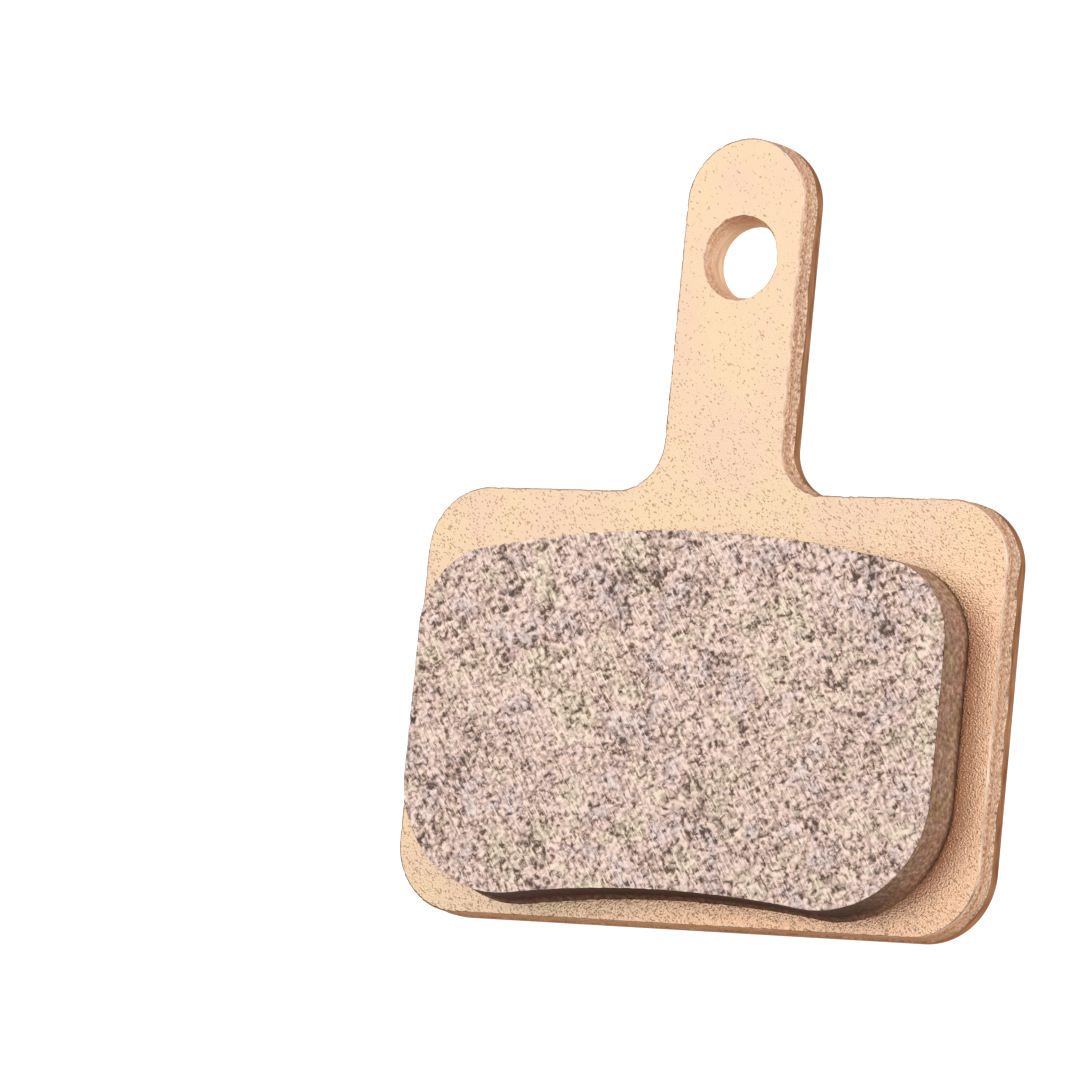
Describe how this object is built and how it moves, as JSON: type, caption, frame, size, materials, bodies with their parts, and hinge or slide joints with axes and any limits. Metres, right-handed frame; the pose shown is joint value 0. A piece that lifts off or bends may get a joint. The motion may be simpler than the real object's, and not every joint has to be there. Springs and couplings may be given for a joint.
{
  "type": "bicycle disc brake pad",
  "caption": "Flat disc brake pad: a copper-plated steel backing plate with a round-ended, pin-holed tab and a bonded sintered friction block that presses on a rotor.",
  "frame": {"origin": "on the plate's back face, on its centre line and half way up the pad's overall height", "axes": "+X across the pad, +Y towards the end of the tab, +Z out of the friction face; the pad lies on its back"},
  "size_m": [0.029, 0.0354, 0.004],
  "materials": {
    "plated_steel": "satin copper plating",
    "sintered_metal": "matt, granular, ground on the face"
  },
  "bodies": {
    "root": {"backing_plate": "plated_steel", "friction_block": "sintered_metal"}
  },
  "joints": []
}
